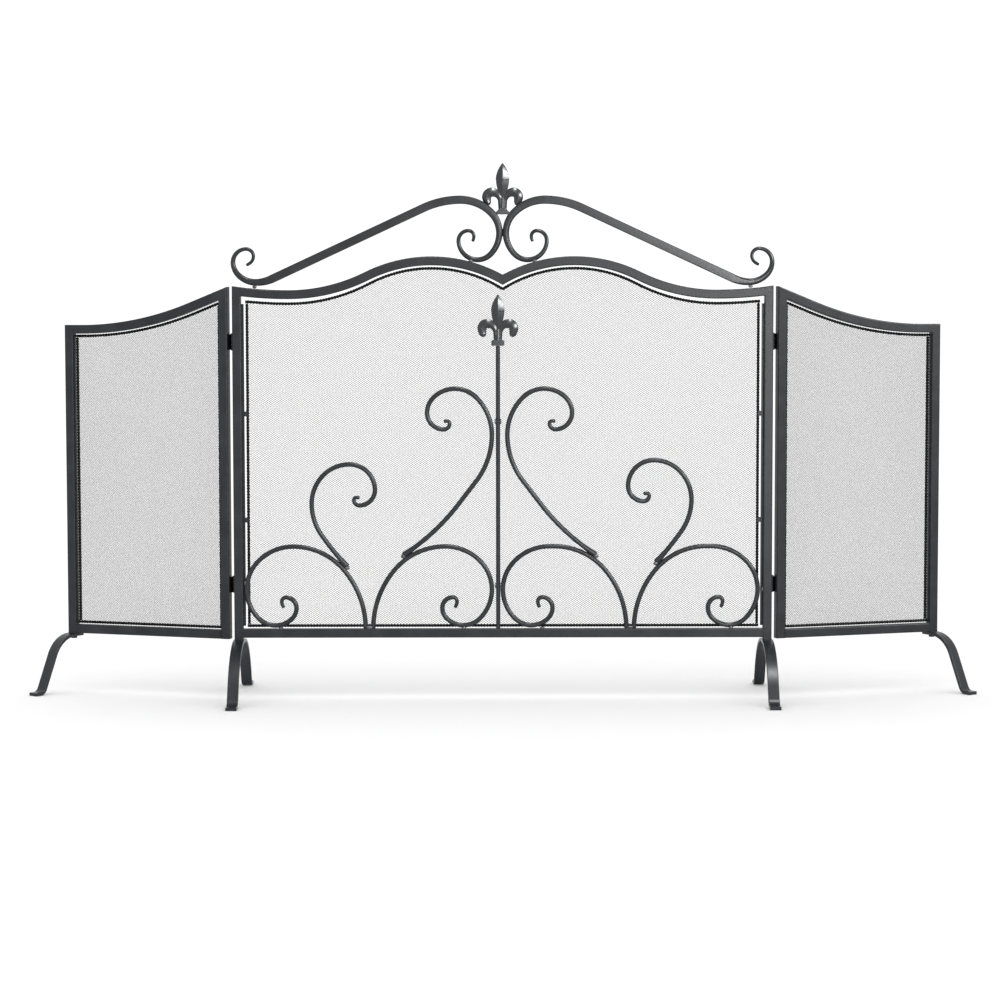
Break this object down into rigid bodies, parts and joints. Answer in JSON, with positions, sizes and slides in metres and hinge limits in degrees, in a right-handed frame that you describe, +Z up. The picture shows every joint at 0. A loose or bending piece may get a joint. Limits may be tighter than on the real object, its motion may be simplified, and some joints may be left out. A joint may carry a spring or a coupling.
{
  "type": "fireplace screen",
  "caption": "three-panel folding fireplace screen, arched tube frames with wire mesh, front scrollwork, a crest of scrolls with a finial, and strap feet",
  "frame": {"origin": "on the floor, under the middle of the centre panel's frame; the folded-out feet and side panels are centred on it too", "axes": "+X along the screen to its right end, +Y from the decorated front to the back, +Z up"},
  "size_m": [1.3844, 0.2808, 0.7725],
  "materials": {
    "frame_paint": "satin charcoal paint over hammered steel",
    "leg_paint": "satin charcoal paint, lightly brushed",
    "cast_iron": "cast, painted charcoal, soft highlights on ridges",
    "wire_mesh": "fine woven wire, painted dark grey",
    "dark_fastener": "near-black satin",
    "bare_steel": "plain turned steel inserts inside the posts"
  },
  "bodies": {
    "centre_panel": {"bottom_rail": "frame_paint", "centre_mesh": "wire_mesh", "centre_mesh_rod_bottom": "frame_paint", "centre_mesh_rod_left": "frame_paint", "centre_mesh_rod_right": "frame_paint", "centre_mesh_rod_top_left": "frame_paint", "centre_mesh_rod_top_right": "frame_paint", "crest_finial": "cast_iron", "crest_scroll_left": "frame_paint", "crest_scroll_right": "frame_paint", "hinge_fixed_leaves": "dark_fastener", "hinge_pins": "dark_fastener", "left_leg_arch": "leg_paint", "left_post": "frame_paint", "leg_bolts": "dark_fastener", "lower_finial": "cast_iron", "mesh_clips": "frame_paint", "mesh_stop_left": "frame_paint", "mesh_stop_right": "frame_paint", "post_plugs": "bare_steel", "right_leg_arch": "leg_paint", "right_post": "frame_paint", "scroll_circle_inner_left": "frame_paint", "scroll_circle_inner_right": "frame_paint", "scroll_circle_outer_left": "frame_paint", "scroll_circle_outer_right": "frame_paint", "scroll_rod": "frame_paint", "scroll_short_left": "frame_paint", "scroll_short_right": "frame_paint", "scroll_tall_left": "frame_paint", "scroll_tall_right": "frame_paint", "top_rail_left": "frame_paint", "top_rail_right": "frame_paint"},
    "left_panel": {"left_panel_bottom_rail": "frame_paint", "left_panel_hinge_leaves": "dark_fastener", "left_panel_inner_post": "frame_paint", "left_panel_leg": "leg_paint", "left_panel_leg_bolt": "dark_fastener", "left_panel_mesh": "wire_mesh", "left_panel_mesh_rod_bottom": "frame_paint", "left_panel_mesh_rod_inner": "frame_paint", "left_panel_mesh_rod_outer": "frame_paint", "left_panel_mesh_rod_top": "frame_paint", "left_panel_outer_post": "frame_paint", "left_panel_post_plug": "bare_steel", "left_panel_top_rail": "frame_paint"},
    "right_panel": {"right_panel_bottom_rail": "frame_paint", "right_panel_hinge_leaves": "dark_fastener", "right_panel_inner_post": "frame_paint", "right_panel_leg": "leg_paint", "right_panel_leg_bolt": "dark_fastener", "right_panel_mesh": "wire_mesh", "right_panel_mesh_rod_bottom": "frame_paint", "right_panel_mesh_rod_inner": "frame_paint", "right_panel_mesh_rod_outer": "frame_paint", "right_panel_mesh_rod_top": "frame_paint", "right_panel_outer_post": "frame_paint", "right_panel_post_plug": "bare_steel", "right_panel_top_rail": "frame_paint"}
  },
  "joints": [
    {"name": "right_hinge", "type": "hinge", "parent": "centre_panel", "child": "right_panel", "pos_m": [0.3915, 0.0093, 0], "axis": [0, 0, 1], "range_deg": [-18.3, 161.7]},
    {"name": "left_hinge", "type": "hinge", "parent": "centre_panel", "child": "left_panel", "pos_m": [-0.3915, 0.0093, 0], "axis": [0, 0, -1], "range_deg": [-18.3, 161.7]}
  ]
}
